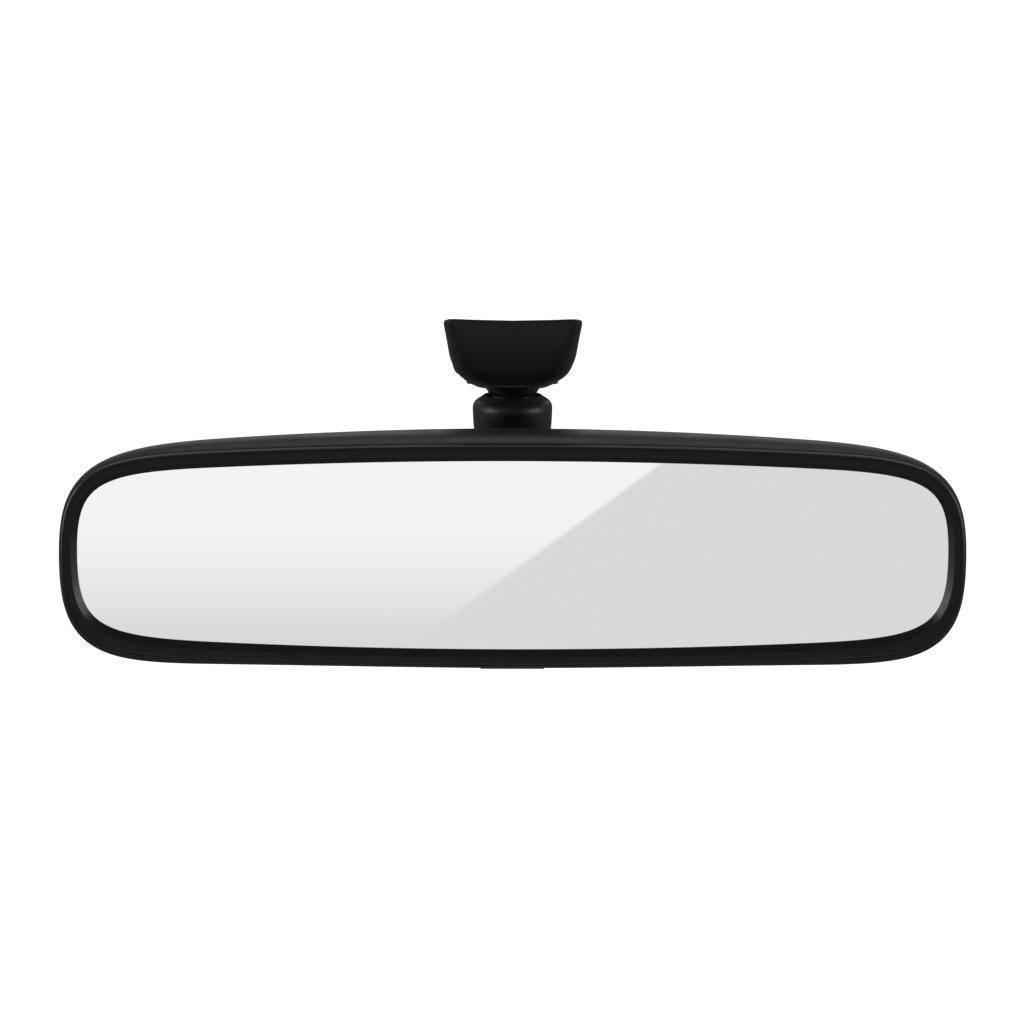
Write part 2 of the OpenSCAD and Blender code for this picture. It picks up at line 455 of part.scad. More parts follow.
// A row at fraction t of the height between the bottom surface and the glass plane, lifted by h
function cup_row(p, t, h = 0, dip = 0) = [for (q = p) [q[0], q[1],
    (1 - t) * cup_bottom(q[1]) + t * plane_z(q[1]) + h - dip * max(0, 1 - pow(q[0] / cup_w, 2)) * max(0, min(1, (36 - q[1]) / 8))]];
function hole_row(r, z) = [for (k = [0:NC - 1]) let (f = 360 * k / NC) [r * cos(f), U[0] + r * sin(f), z]];
module mount_cover() color("#17181a") place() {
    w = cup_w;
    difference() {
        skin([
            hole_row(12.0, cup_z + 0.7),
            cup_row(plan(12.6, 31.8, 73.4, 0.52), 0, 0.7), cup_row(plan(13.2, 31.4, 74.2, 0.5), 0, 1.1), cup_row(plan(14.5, 30.8, 74.9, 0.46), 0, 1.75),
            cup_row(plan(15.6, 30.2, 75.5, 0.42), 0, 2.6), cup_row(plan(16.6, 29.7, 76.0, 0.39), 0, 3.8), cup_row(plan(17.4, 29.2, 76.4, 0.37), 0, 5.3),
            cup_row(plan(w - 1.5, 28.3, 77.0, 0.3), 0.5), cup_row(plan(w - 0.72, 27.3, 77.6, 0.22), 0.78), cup_row(plan(w, 26.5, 78.0, 0.16), 1, -0.02, cup_dip),
            cup_row(plan(w - 1.8, 28.3, 76.2, 0.2), 1, -0.02, cup_dip),
            cup_row(plan(w - 3.3, 30.1, 75.3, 0.34), 0.5), cup_row(plan(15.6, 30.9, 74.5, 0.42), 0, 4.8), cup_row(plan(14.9, 31.3, 73.8, 0.46), 0, 3.4),
            cup_row(plan(13.2, 31.9, 73.0, 0.55), 0, 2.3),
            hole_row(12.0, cup_z + 2.1)]);
        // screw holes, counterbored for the heads
        on_glass() for (x = [-1, 1]) translate([x * 11.4, 0, 0]) {
            translate([0, 0, -14]) cylinder(r = 1.2, h = 10, $fn = 48);
            translate([0, 0, -14]) cylinder(r = 2.2, h = 4.8, $fn = 48);
        }
        // key hole for the set screw
        on_glass() translate([0, 12, -2.2]) rotate([-90, 0, 0]) cylinder(r = 1.8, h = 10, $fn = 48);
    }
}
module cover_screws() color("#77797b") place() on_glass() for (x = [-1, 1]) translate([x * 11.4, 0, 0]) difference() {
    union() {
        translate([0, 0, -9.4]) cylinder(r = 0.95, h = 7.0, $fn = 48);
        translate([0, 0, -9.95]) cylinder(r = 1.9, h = 0.72, $fn = 48);
    }
    translate([0, 0, -10.6]) cylinder(r = 0.85, h = 1.1, $fn = 6);
}

mount_base();
mount_cover();
cover_screws();
button_set_screw();
button_spring_washer();
upper_retaining_ring();
upper_spring_washer();
upper_ball_seat();
upper_pressure_cup();
upper_ball_stud();
stud_cross_pin();
arm_core();
arm_front_cover();
arm_rear_cover();
arm_cover_screws();
lower_ball_stud();
lower_stud_nut();
lower_stud_washer();
lower_pressure_cup();
lower_ball_seat();
lower_friction_spring();
socket_carrier();
socket_retainer();
retainer_screws();
rear_housing();
case_bosses();
front_bezel();
mirror_glass();
glass_backing();
foam_strips();
inner_chassis();
chassis_screws();
hinge_pin();
lever_pivot_pin();
detent_spring();
day_night_lever();
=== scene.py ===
import json
import math

import bmesh
import bpy
import numpy as np
from mathutils import Matrix, Vector


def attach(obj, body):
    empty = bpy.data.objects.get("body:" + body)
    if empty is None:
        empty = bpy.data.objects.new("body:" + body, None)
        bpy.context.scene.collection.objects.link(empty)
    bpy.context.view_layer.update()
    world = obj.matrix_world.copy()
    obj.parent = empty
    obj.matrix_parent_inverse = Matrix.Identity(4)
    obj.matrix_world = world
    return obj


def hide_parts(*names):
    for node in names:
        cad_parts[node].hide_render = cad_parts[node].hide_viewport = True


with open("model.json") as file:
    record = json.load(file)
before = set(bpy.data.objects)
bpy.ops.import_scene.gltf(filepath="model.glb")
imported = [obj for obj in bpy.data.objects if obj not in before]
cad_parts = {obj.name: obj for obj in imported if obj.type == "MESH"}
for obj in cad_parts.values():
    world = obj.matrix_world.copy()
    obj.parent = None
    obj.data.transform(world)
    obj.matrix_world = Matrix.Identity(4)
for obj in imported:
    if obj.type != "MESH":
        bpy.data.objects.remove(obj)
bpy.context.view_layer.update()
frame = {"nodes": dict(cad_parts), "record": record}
nodes = frame["nodes"]

# ---------------------------------------------------------------- design values, as in the part's source
GA, GB, ER, EX = 121.7, 26.8, 1780.0, 84.5
RECESS, SLOPE, BW, GT, WEDGE = 2.0, 1.7, 4.7, 2.3, 2.8
HOLE = 13.0
RAKE = 21.0
CUP_W, DIP = 19.9, 0.7
U, L, H, P = (44.0, 44.9), (23.0, 2.0), (16.0, 22.0), (12.0, -27.5)
RIM = (26.5, 63.6)
RISE = 0.15
LEVER_W, LEVER_L, TAB_REST = 18.5, 17.1, 32.8
tr = math.tan(math.radians(RAKE)); cr = math.cos(math.radians(RAKE)); sr = math.sin(math.radians(RAKE))
UD = (RIM[1] - (U[0] - RIM[0]) * tr - U[1]) * cr
C = (U[0] + UD * sr + 17.5 * cr, U[1] + UD * cr - 17.5 * sr)


def row(p):
    """Layout millimetres to the row frame's metres."""
    p = np.asarray(p, float)
    return (p - np.array([0.0, C[0], C[1]])) / 1000.0


# ---------------------------------------------------------------- mesh helpers
def mesh_object(name, verts, faces, smooth=True):
    me = bpy.data.meshes.new(name)
    me.from_pydata([tuple(v) for v in verts], [], faces)
    me.validate()
    me.update()
    ob = bpy.data.objects.new(name, me)
    bpy.context.scene.collection.objects.link(ob)
    bm = bmesh.new(); bm.from_mesh(me)
    bmesh.ops.recalc_face_normals(bm, faces=bm.faces)
    bm.to_mesh(me); bm.free()
    if smooth:
        me.polygons.foreach_set("use_smooth", [True] * len(me.polygons))
    return ob


def sharp_by_angle(ob, deg):
    """Smooth shading with creases kept where faces meet at more than deg."""
    bm = bmesh.new(); bm.from_mesh(ob.data)
    lim = math.radians(deg)
    for e in bm.edges:
        e.smooth = not (len(e.link_faces) == 2 and e.calc_face_angle(0) > lim)
    for f in bm.faces:
        f.smooth = True
    bm.to_mesh(ob.data); bm.free()


def tube(rings, close=False):
    """Quads over closed rings; close joins the last ring to the first."""
    n = len(rings[0]); m = len(rings)
    verts = [p for r in rings for p in r]
    faces = []
    for i in range(m if close else m - 1):
        k = (i + 1) % m
        for j in range(n):
            j2 = (j + 1) % n
            faces.append((i * n + j, i * n + j2, k * n + j2, k * n + j))
    return verts, faces


def spline_rows(rows, sub):
    """Catmull-Rom through rows of points, sub steps between rows, spaced by chord length."""
    rows = [np.asarray(r, float) for r in rows]
    out = []
    m = len(rows)
    for i in range(m - 1):
        p0 = rows[i - 1] if i > 0 else 2 * rows[i] - rows[i + 1]
        p1, p2 = rows[i], rows[i + 1]
        p3 = rows[i + 2] if i + 2 < m else 2 * rows[i + 1] - rows[i]
        d01 = max(np.abs(p1 - p0).max(), 1e-6) ** 0.5
        d12 = max(np.abs(p2 - p1).max(), 1e-6) ** 0.5
        d23 = max(np.abs(p3 - p2).max(), 1e-6) ** 0.5
        m1 = (p1 - p0) / d01 - (p2 - p0) / (d01 + d12) + (p2 - p1) / d12
        m2 = (p2 - p1) / d12 - (p3 - p1) / (d12 + d23) + (p3 - p2) / d23
        m1 = m1 * d12; m2 = m2 * d12
        for s in range(sub):
            t = s / sub
            out.append((2 * t**3 - 3 * t**2 + 1) * p1 + (t**3 - 2 * t**2 + t) * m1 + (-2 * t**3 + 3 * t**2) * p2 + (t**3 - t**2) * m2)
    out.append(rows[-1])
    return out


def fillet(points, radii, steps=6):
    """An open 2-D line with its inner corners rounded."""
    out = [np.array(points[0], float)]
    for i in range(1, len(points) - 1):
        a, b, c = (np.array(points[k], float) for k in (i - 1, i, i + 1))
        r = radii[i]
        u = a - b; v = c - b
        lu, lv = np.linalg.norm(u), np.linalg.norm(v)
        if r <= 0 or lu < 1e-6 or lv < 1e-6:
            out.append(b); continue
        u /= lu; v /= lv
        ang = math.acos(max(-1, min(1, float(u @ v))))
        t = min(r / math.tan(ang / 2), lu * 0.49, lv * 0.49)
        r2 = t * math.tan(ang / 2)
        s, e = b + u * t, b + v * t
        bis = (u + v) / max(np.linalg.norm(u + v), 1e-9)
        cen = b + bis * (r2 / math.sin(ang / 2))
        a0 = s - cen; a1 = e - cen
        th = math.acos(max(-1, min(1, float(a0 @ a1) / (np.linalg.norm(a0) * np.linalg.norm(a1) + 1e-12))))
        for k in range(steps + 1):
            f = k / steps
            if th < 1e-4:
                q = s * (1 - f) + e * f
            else:
                q = cen + (math.sin((1 - f) * th) * a0 + math.sin(f * th) * a1) / math.sin(th)
            out.append(q)
    out.append(np.array(points[-1], float))
    return out


# ---------------------------------------------------------------- outline of the head
NA, NB = 20, 44
TH = math.asin(EX / ER)
c0 = np.array([EX, GB - ER + ER * math.cos(TH)])
CORNER = [c0, c0 + 32 * np.array([math.cos(TH), -math.sin(TH)]), np.array([GA, 20.0]), np.array([GA, 0.0])]


def bez(t):
    p = CORNER
    return (1 - t) ** 3 * p[0] + 3 * (1 - t) ** 2 * t * p[1] + 3 * (1 - t) * t * t * p[2] + t**3 * p[3]


def dbez(t):
    p = CORNER
    return 3 * (1 - t) ** 2 * (p[1] - p[0]) + 6 * (1 - t) * t * (p[2] - p[1]) + 3 * t * t * (p[3] - p[2])


def quad(d):
    q = []
    for i in range(NA):
        a = TH * i / NA
        q.append(((ER + d) * math.sin(a), GB - ER + (ER + d) * math.cos(a)))
    for i in range(NB + 1):
        t = i / NB
        b, v = bez(t), dbez(t)
        n = np.array([-v[1], v[0]]) / np.linalg.norm(v)
        q.append(tuple(b + d * n))
    return np.array(q)


def loop(d):
    q = quad(d); n = NA + NB
    a = [q[i] for i in range(n)]
    b = [(q[n - i][0], -q[n - i][1]) for i in range(n)]
    c = [(-q[i][0], -q[i][1]) for i in range(n)]
    e = [(-q[n - i][0], q[n - i][1]) for i in range(n)]
    return np.array(a + b + c + e)


def droop(x, f):
    return (np.abs(x) / 126.0) ** 3 * (1 - np.sin(f)) / 2


def ring(d, y, g=0.0):
    p = loop(d)
    f = np.arctan2(p[:, 1] / GB, p[:, 0] / GA)
    return np.stack([p[:, 0], np.full(len(p), y), p[:, 1] - g * droop(p[:, 0], f)], 1)


BASE = loop(BW)


def dome(y, a, b, q=0.0, g=0.0, m=0.0, r=0.0):
    u = BASE[:, 0] / (GA + BW); v = BASE[:, 1] / (GB + BW)
    f = np.arctan2(v, u)
    x = a * ((1 - q) * u + q * np.cos(f))
    z = RISE * min(1, y / 7) + b * ((1 - q) * v + q * np.sin(f)) - g * droop(x, f)
    return np.stack([(1 - m) * x + m * r * np.cos(f), np.full(len(x), y), (1 - m) * z + m * (L[1] + r * np.sin(f))], 1)


# ---------------------------------------------------------------- materials
def material(name, base, rough, metal=0.0, spec=0.5, coat=0.0):
    m = bpy.data.materials.new(name)
    m.use_nodes = True
    nt = m.node_tree
    b = nt.nodes["Principled BSDF"]
    b.inputs["Base Color"].default_value = (*base, 1)
    b.inputs["Roughness"].default_value = rough
    b.inputs["Metallic"].default_value = metal
    b.inputs["Specular IOR Level"].default_value = spec
    b.inputs["Coat Weight"].default_value = coat
    return m, nt, b


def coords(nt, scale=(1, 1, 1)):
    tc = nt.nodes.new("ShaderNodeTexCoord")
    mp = nt.nodes.new("ShaderNodeMapping")
    mp.inputs["Scale"].default_value = scale
    nt.links.new(tc.outputs["Object"], mp.inputs["Vector"])
    return mp.outputs["Vector"]


def noise(nt, vec, scale, detail=3.0, rough=0.5):
    n = nt.nodes.new("ShaderNodeTexNoise")
    n.inputs["Scale"].default_value = scale
    n.inputs["Detail"].default_value = detail
    n.inputs["Roughness"].default_value = rough
    nt.links.new(vec, n.inputs["Vector"])
    return n.outputs["Fac"]


def vary(nt, fac, lo, hi, socket):
    r = nt.nodes.new("ShaderNodeMapRange")
    r.inputs["From Min"].default_value = 0.3
    r.inputs["From Max"].default_value = 0.7
    r.inputs["To Min"].default_value = lo
    r.inputs["To Max"].default_value = hi
    nt.links.new(fac, r.inputs["Value"])
    nt.links.new(r.outputs["Result"], socket)


def tint(nt, fac, a, b, socket):
    r = nt.nodes.new("ShaderNodeMix")
    r.data_type = "RGBA"
    r.inputs[6].default_value = (*a, 1)
    r.inputs[7].default_value = (*b, 1)
    nt.links.new(fac, r.inputs[0])
    nt.links.new(r.outputs[2], socket)


def bump(nt, bsdf, fac, dist, strength=1.0, prev=None):
    n = nt.nodes.new("ShaderNodeBump")
    n.inputs["Strength"].default_value = strength
    n.inputs["Distance"].default_value = dist
    nt.links.new(fac, n.inputs["Height"])
    if prev is not None:
        nt.links.new(prev, n.inputs["Normal"])
    nt.links.new(n.outputs["Normal"], bsdf.inputs["Normal"])
    return n.outputs["Normal"]


def grained(name, dark, light, r0, r1, grain=1500.0, depth=0.00003, spec=0.5):
    """Moulded black plastic: a fine leather-like grain, faint clouding and slow waviness from the mould."""
    m, nt, b = material(name, dark, (r0 + r1) / 2, spec=spec)
    v = coords(nt)
    tint(nt, noise(nt, v, 90, 4), dark, light, b.inputs["Base Color"])
    vary(nt, noise(nt, v, 160, 4, 0.6), r0, r1, b.inputs["Roughness"])
    vo = nt.nodes.new("ShaderNodeTexVoronoi")
    vo.feature = "SMOOTH_F1"
    vo.inputs["Scale"].default_value = grain
    vo.inputs["Smoothness"].default_value = 0.6
    nt.links.new(v, vo.inputs["Vector"])
    first = bump(nt, b, vo.outputs["Distance"], depth, 0.55)
    bump(nt, b, noise(nt, v, 45, 2), 0.00006, 0.12, first)
    return m


def metal(name, base, rough, streak=None, dirt=0.12, metallic=1.0):
    m, nt, b = material(name, base, rough, metallic)
    v = coords(nt, streak or (1, 1, 1))
    f = noise(nt, v, 900, 5, 0.65)
    vary(nt, f, max(rough - dirt, 0.05), rough + dirt, b.inputs["Roughness"])
    tint(nt, noise(nt, coords(nt), 220, 4), base, tuple(c * 0.78 for c in base), b.inputs["Base Color"])
    bump(nt, b, f, 0.00002, 0.25)
    return m


def cast(name, base, rough):
    m, nt, b = material(name, base, rough, 0.85)
    v = coords(nt)
    tint(nt, noise(nt, v, 260, 6, 0.7), base, tuple(c * 0.7 for c in base), b.inputs["Base Color"])
    f = noise(nt, v, 1500, 6, 0.7)
    vary(nt, f, rough - 0.1, rough + 0.12, b.inputs["Roughness"])
    bump(nt, b, f, 0.00005, 0.6)
    return m


MAT = {}
MAT["case_plastic"] = grained("case_plastic", (0.0105, 0.0108, 0.0115), (0.0135, 0.0138, 0.0145), 0.40, 0.50)
MAT["bezel_plastic"] = grained("bezel_plastic", (0.0075, 0.0077, 0.0082), (0.0098, 0.0100, 0.0105), 0.30, 0.40, grain=1900.0, depth=0.000018)
MAT["lever_plastic"] = grained("lever_plastic", (0.0085, 0.0087, 0.0092), (0.0105, 0.0107, 0.0113), 0.36, 0.46, grain=1700.0)
MAT["structural_plastic"] = grained("structural_plastic", (0.045, 0.048, 0.052), (0.062, 0.066, 0.071), 0.5, 0.65, grain=900.0, depth=0.00004)
MAT["steel"] = metal("steel", (0.56, 0.57, 0.58), 0.28)
MAT["spring_steel"] = metal("spring_steel", (0.36, 0.37, 0.385), 0.34, (1, 1, 6))
MAT["black_steel"] = metal("black_steel", (0.022, 0.022, 0.024), 0.36, metallic=0.4)
MAT["cast_zinc"] = cast("cast_zinc", (0.43, 0.44, 0.455), 0.48)

m, nt, b = material("seat_plastic", (0.70, 0.68, 0.62), 0.38)
v = coords(nt)
tint(nt, noise(nt, v, 300, 4), (0.71, 0.69, 0.63), (0.64, 0.62, 0.56), b.inputs["Base Color"])
vary(nt, noise(nt, v, 700, 4), 0.32, 0.46, b.inputs["Roughness"])
b.inputs["Subsurface Weight"].default_value = 0.15
b.inputs["Subsurface Radius"].default_value = (0.002, 0.0018, 0.0014)
MAT["seat_plastic"] = m

m, nt, b = material("foam", (0.03, 0.03, 0.032), 0.95, spec=0.2)
v = coords(nt)
vo = nt.nodes.new("ShaderNodeTexVoronoi"); vo.inputs["Scale"].default_value = 1400
nt.links.new(v, vo.inputs["Vector"])
tint(nt, vo.outputs["Distance"], (0.02, 0.02, 0.021), (0.05, 0.05, 0.052), b.inputs["Base Color"])
bump(nt, b, vo.outputs["Distance"], 0.0002, 0.8)
MAT["foam"] = m

m, nt, b = material("glass_backing", (0.05, 0.055, 0.06), 0.55)
v = coords(nt)
tint(nt, noise(nt, v, 400, 5), (0.048, 0.053, 0.058), (0.062, 0.066, 0.07), b.inputs["Base Color"])
vary(nt, noise(nt, v, 500, 4), 0.45, 0.62, b.inputs["Roughness"])
MAT["glass_backing"] = m

# silvered face seen through clear glass: a bright, nearly perfect mirror with a very slight waviness
m, nt, b = material("silvered_glass", (0.93, 0.94, 0.94), 0.012, 1.0)
v = coords(nt)
tint(nt, noise(nt, v, 6, 2), (0.925, 0.937, 0.937), (0.935, 0.943, 0.943), b.inputs["Base Color"])
vary(nt, noise(nt, v, 20, 3), 0.008, 0.016, b.inputs["Roughness"])
MAT["silvered_glass"] = m
# the ground edge and the painted back of the pane
m, nt, b = material("glass_edge", (0.16, 0.22, 0.20), 0.35)
vary(nt, noise(nt, coords(nt), 900, 5), 0.28, 0.45, b.inputs["Roughness"])
MAT["glass_edge"] = m


def dress(ob, slot_name, body=None, replaces=None):
    ob.data.materials.clear()
    ob.data.materials.append(MAT[slot_name])
    if body:
        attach(ob, body)
    if replaces:
        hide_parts(replaces)
    return ob


# ---------------------------------------------------------------- front bezel
def g_of(d):
    return float(np.interp(d, [0, SLOPE - 0.25, SLOPE + 0.1, 3.1, 3.65, 4.1, 4.42, 4.6, BW], [0, 0.2, 0.25, 0.8, 1.1, 1.4, 1.6, 1.8, 2.0]))


prof = fillet([(0.0, RECESS), (0.0, RECESS - 0.35), (SLOPE + 0.02, 0.0), (BW, 0.0), (BW, 2.3), (4.55, 2.35)],
              [0, 0.14, 0.5, 1.85, 0.14, 0], steps=10)
bez_rings = [ring(d, y, g_of(d)) for d, y in prof]
bez_rings += [ring(3.9, 2.38, 1.7), ring(2.36, 2.4, 0.95), ring(2.3, 2.5, 0.9), ring(2.3, 7.15, 0.9), ring(2.05, 7.4, 0.8), ring(1.4, 7.4, 0.2), ring(1.25, 7.25, 0.0), ring(1.25, RECESS + 0.02, 0.0), ring(0.6, RECESS + 0.01, 0.0)]
v, f = tube([row(r) for r in bez_rings], close=True)
bezel = mesh_object("bezel_shell", v, f)
sharp_by_angle(bezel, 40)
dress(bezel, "bezel_plastic", "head", "front_bezel")

# ---------------------------------------------------------------- rear housing
lip = [ring(3.75, 2.62, 1.6), ring(4.35, 2.6, 1.9)]
outer = [dome(2.78, 126.55, 31.62, 0, 2.35), dome(3.6, 126.9, 32.0, 0, 2.9), dome(4.8, 127.1, 32.7, 0.01, 3.7), dome(7, 126.8, 33.45, 0.03, 4.5), dome(10.5, 125.2, 33.9, 0.07, 5.0),
         dome(14, 121.9, 33.8, 0.12, 5.2), dome(17.5, 116.4, 33.3, 0.2, 4.9), dome(20.5, 108.5, 32.3, 0.3, 4), dome(23.5, 98, 30.8, 0.44, 3), dome(26.2, 84, 28.3, 0.6, 2),
         dome(28.5, 65, 24.4, 0.8, 0, 0.05, 22), dome(30.1, 45, 19.5, 1, 0, 0.25, 19), dome(30.9, 29, 16.5, 1, 0, 0.6, 16.5),
         dome(31.25, 20, 14, 1, 0, 1, HOLE + 1.2)]
throat = [dome(31.3, 20, 14, 1, 0, 1, HOLE + 0.7), dome(31.2, 20, 14, 1, 0, 1, HOLE + 0.25), dome(30.9, 20, 14, 1, 0, 1, HOLE), dome(29.4, 20, 14, 1, 0, 1, HOLE)]
inner = [dome(29.2, 20, 14, 1, 0, 1, HOLE + 0.4), dome(28.6, 29, 15.5, 1, 0, 0.5, 18), dome(27.2, 55, 21, 0.8, 0, 0.1, 20),
         dome(24.6, 80, 25.9, 0.62, 2), dome(21.6, 96, 28.7, 0.46, 3), dome(17.5, 110, 30.7, 0.26, 4.2), dome(13.5, 119.4, 31.5, 0.13, 4.6), dome(9, 124.1, 31.6, 0.05, 4.2), dome(5.5, 125.0, 31.0, 0.01, 3), ring(2.55, 2.75, 1.25)]
rings = lip + spline_rows(outer, 4) + throat + spline_rows(inner, 2)
v, f = tube([row(r) for r in rings], close=True)
housing = mesh_object("case_shell", v, f)
# slot for the lever, with rounded ends
def box_mesh(name, x0, x1, y0, y1, z0, z1, bev=0.0):
    vs = [row((x, y, z)) for x in (x0, x1) for y in (y0, y1) for z in (z0, z1)]
    fs = [(0, 1, 3, 2), (4, 6, 7, 5), (0, 4, 5, 1), (2, 3, 7, 6), (0, 2, 6, 4), (1, 5, 7, 3)]
    o = mesh_object(name, vs, fs, smooth=False)
    if bev:
        bm = bmesh.new(); bm.from_mesh(o.data)
        bmesh.ops.bevel(bm, geom=list(bm.edges), offset=bev / 1000, segments=5, profile=0.5, affect="EDGES")
        bm.to_mesh(o.data); bm.free()
    return o


cutter = box_mesh("tmp_cutter", -LEVER_W / 2 - 0.9, LEVER_W / 2 + 0.9, 7.0, 23.5, -42, -26, bev=1.6)
mod = housing.modifiers.new("slot", "BOOLEAN")
mod.operation = "DIFFERENCE"; mod.object = cutter; mod.solver = "EXACT"
bpy.context.view_layer.update()
dg = bpy.context.evaluated_depsgraph_get()
me = bpy.data.meshes.new_from_object(housing.evaluated_get(dg))
housing.modifiers.clear()
housing.data = me
bpy.data.objects.remove(cutter)
sharp_by_angle(housing, 38)
dress(housing, "case_plastic", "head", "rear_housing")

# ---------------------------------------------------------------- glass
def lean(z):
    return RECESS + GT + (z + GB + 1) * math.tan(math.radians(WEDGE))


def pane(d, y_of, shift=0.0):
    p = loop(d)
    return np.array([[x, y_of(z) + shift, z] for x, z in p])


front_cap = loop(0.9)
gr = [pane(0.9, lambda z: RECESS), pane(1.05, lambda z: RECESS + 0.15), pane(1.05, lambda z: lean(z) - 0.15), pane(0.9, lambda z: lean(z))]
v, f = tube([row(r) for r in gr])
n = len(front_cap)
v = list(v)
f = list(f) + [tuple(range(n)), tuple(range(3 * n, 4 * n))]
glass = mesh_object("mirror_pane", v, f, smooth=False)
glass.data.materials.append(MAT["silvered_glass"])
glass.data.materials.append(MAT["glass_edge"])
front = len(f) - 2
for p in glass.data.polygons:
    flat = len(p.vertices) > 100 and abs(p.center.y - row((0, RECESS, 0))[1]) < 2e-4
    p.material_index = 0 if flat else 1
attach(glass, "head"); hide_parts("mirror_glass")

# ---------------------------------------------------------------- mount cover
NC = 220
CUP_Z = 42.53


def sq(v, e):
    return np.sign(v) * np.abs(v) ** e


def cup_bottom(y):
    return np.where(y < 50, CUP_Z, CUP_Z - (y - 50) * 0.31)


def plane_z(y):
    return RIM[1] - (y - RIM[0]) * tr


PHI = 2 * np.pi * np.arange(NC) / NC


def plan(a, y0, y1, e):
    y = (y0 + y1) / 2 + (y1 - y0) / 2 * sq(np.sin(PHI), e)
    return np.stack([a * sq(np.cos(PHI), e) * (1 - 0.002 * np.maximum(0, y - 30)), y], 1)


def cup_row(p, t, h=0.0, dip=0.0):
    z = (1 - t) * cup_bottom(p[:, 1]) + t * plane_z(p[:, 1]) + h - dip * np.maximum(0, 1 - (p[:, 0] / CUP_W) ** 2) * np.clip((36 - p[:, 1]) / 8, 0, 1)
    return np.stack([p[:, 0], p[:, 1], z], 1)


def hole_row(r, z):
    return np.stack([r * np.cos(PHI), U[0] + r * np.sin(PHI), np.full(NC, z)], 1)


w = CUP_W
c_out = [cup_row(plan(12.6, 31.8, 73.4, 0.52), 0, 0.7), cup_row(plan(13.2, 31.4, 74.2, 0.5), 0, 1.1), cup_row(plan(14.5, 30.8, 74.9, 0.46), 0, 1.75),
         cup_row(plan(15.6, 30.2, 75.5, 0.42), 0, 2.6), cup_row(plan(16.6, 29.7, 76.0, 0.39), 0, 3.8), cup_row(plan(17.4, 29.2, 76.4, 0.37), 0, 5.3),
         cup_row(plan(w - 1.5, 28.3, 77.0, 0.3), 0.5), cup_row(plan(w - 0.72, 27.3, 77.6, 0.22), 0.78), cup_row(plan(w - 0.06, 26.6, 77.94, 0.16), 0.985, -0.02, DIP)]
c_top = [cup_row(plan(w - 0.12, 26.65, 77.88, 0.16), 1, -0.02, DIP), cup_row(plan(w - 0.5, 27.0, 77.5, 0.165), 1, -0.02, DIP), cup_row(plan(w - 1.7, 28.2, 76.3, 0.2), 1, -0.02, DIP)]
c_in = [cup_row(plan(w - 1.9, 28.4, 76.1, 0.2), 0.985, -0.02, DIP),
        cup_row(plan(w - 3.3, 30.1, 75.3, 0.34), 0.5), cup_row(plan(15.6, 30.9, 74.5, 0.42), 0, 4.8), cup_row(plan(14.9, 31.3, 73.8, 0.46), 0, 3.4),
        cup_row(plan(13.2, 31.9, 73.0, 0.55), 0, 2.3), hole_row(12.0, CUP_Z + 2.1)]
rings = [hole_row(12.0, CUP_Z + 1.2), hole_row(12.02, CUP_Z + 0.8), hole_row(12.2, CUP_Z + 0.7)] + spline_rows(c_out, 4) + c_top + c_in
v, f = tube([row(r) for r in rings], close=True)
cover = mesh_object("foot_cover", v, f)


def glass_frame(x, y, z):
    """A point in the windshield's frame, as layout millimetres."""
    return (x, C[0] + y * cr + z * sr, C[1] - y * sr + z * cr)


def rod(name, p, q, r, seg=48):
    """A cylinder between two layout points."""
    a, b2 = Vector(row(p)), Vector(row(q))
    d = (b2 - a).normalized()
    s = d.orthogonal().normalized(); t = d.cross(s)
    rr = r / 1000
    vs = [a + (s * math.cos(2 * math.pi * k / seg) + t * math.sin(2 * math.pi * k / seg)) * rr for k in range(seg)]
    vs += [x + (b2 - a) for x in vs]
    fs = [(k, (k + 1) % seg, seg + (k + 1) % seg, seg + k) for k in range(seg)] + [tuple(range(seg)), tuple(range(seg, 2 * seg))]
    return mesh_object(name, vs, fs, smooth=False)


cutters = []
for x in (-11.4, 11.4):
    cutters.append(rod("tmp_a", glass_frame(x, 0, -14), glass_frame(x, 0, -4), 1.2))
    cutters.append(rod("tmp_b", glass_frame(x, 0, -14), glass_frame(x, 0, -9.2), 2.2))
cutters.append(rod("tmp_c", glass_frame(0, 12, -2.2), glass_frame(0, 22, -2.2), 1.8))
for k, c in enumerate(cutters):
    mod = cover.modifiers.new("c%d" % k, "BOOLEAN")
    mod.operation = "DIFFERENCE"; mod.object = c; mod.solver = "EXACT"
bpy.context.view_layer.update()
dg = bpy.context.evaluated_depsgraph_get()
me = bpy.data.meshes.new_from_object(cover.evaluated_get(dg))
cover.modifiers.clear(); cover.data = me
for c in cutters:
    bpy.data.objects.remove(c)
sharp_by_angle(cover, 38)
dress(cover, "case_plastic", "mount", "mount_cover")

# ---------------------------------------------------------------- arm covers
ARM = [[38.75, 8.2, 35.8, 52.2], [38.0, 9.2, 34.8, 53.2], [37.45, 10.1, 33.9, 54.1], [36.9, 10.75, 33.25, 54.75], [36.2, 11.2, 32.8, 55.2], [35.3, 11.45, 32.55, 55.45],
       [33, 11.42, 33.0, 55.35], [30.5, 11.3, 34.1, 55.0], [27.7, 11.0, 36.1, 54.35], [25, 10.7, 37.8, 53.6], [21, 10.1, 39.1, 52.9], [15, 9.8, 39.5, 52.6],
       [8, 9.7, 39.5, 52.6], [1, 9.6, 39.5, 52.6], [-3, 9.0, 39.6, 52.4], [-6, 7.4, 40.1, 51.7], [-7.8, 4.6, 41.4, 50.4], [-8.3, 2.0, 43.6, 48.2]]
NS = 48


